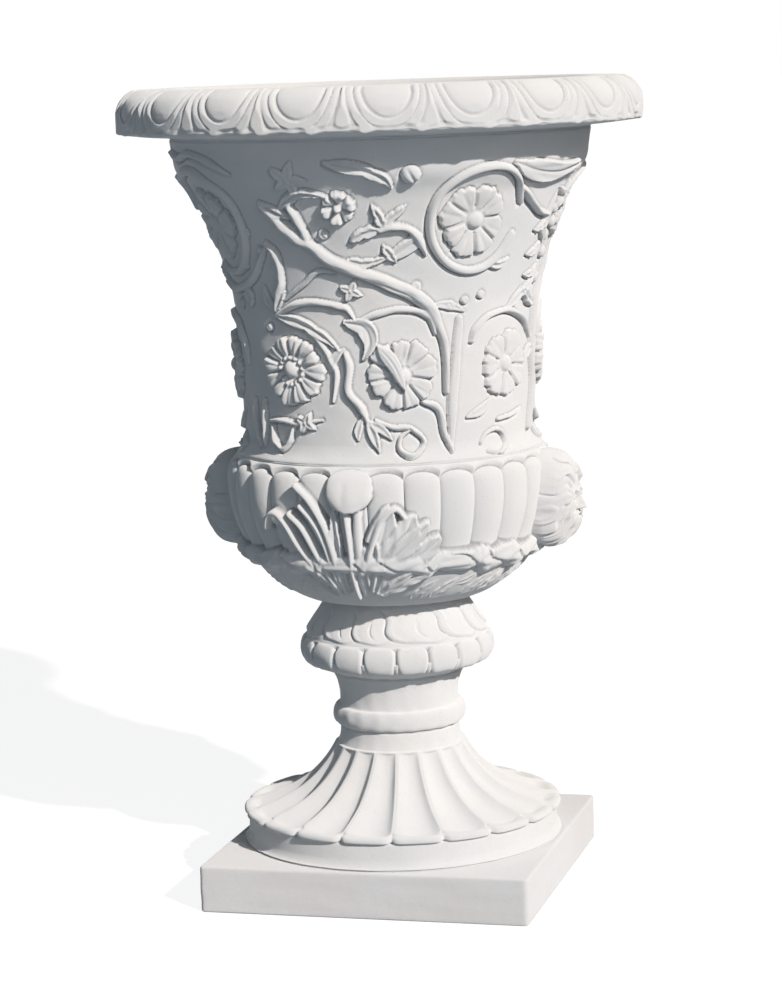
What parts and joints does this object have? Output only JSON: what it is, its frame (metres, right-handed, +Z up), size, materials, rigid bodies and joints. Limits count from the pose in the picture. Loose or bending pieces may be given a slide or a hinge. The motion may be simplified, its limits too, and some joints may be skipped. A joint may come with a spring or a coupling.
{
  "type": "campana vase",
  "caption": "Bell-shaped garden urn on a gadrooned bowl, with two mask heads, a beaded knop, a fluted round foot and a square plinth.",
  "frame": {"origin": "middle of the plinth's underside", "axes": "+Z up the vase's axis, +X through the right mask, -Y to the front between the masks, square to the plinth's side"},
  "size_m": [0.5168, 0.5168, 0.8],
  "materials": {
    "cast_stone": "matte white cast stone",
    "mortar": "matte fine mortar",
    "steel": "stainless, machined",
    "rubber": "matte black"
  },
  "bodies": {
    "root": {"plinth": "cast_stone", "foot": "cast_stone", "stem": "cast_stone", "knop": "cast_stone", "bowl": "cast_stone", "bell": "cast_stone", "rim": "cast_stone", "left_mask": "cast_stone", "right_mask": "cast_stone", "plinth_bed": "mortar", "foot_bed": "mortar", "stem_bed": "mortar", "knop_bed": "mortar", "bowl_bed": "mortar", "bell_bed": "mortar", "tie_rod": "steel", "lower_washer": "steel", "lower_nut": "steel", "bowl_seal": "rubber", "upper_washer": "steel", "upper_nut": "steel", "bell_dowel_1": "steel", "bell_dowel_2": "steel", "bell_dowel_3": "steel", "bell_dowel_4": "steel", "rim_dowel_1": "steel", "rim_dowel_2": "steel", "rim_dowel_3": "steel", "rim_dowel_4": "steel", "left_mask_dowel_1": "steel", "left_mask_dowel_2": "steel", "right_mask_dowel_1": "steel", "right_mask_dowel_2": "steel"}
  },
  "joints": []
}
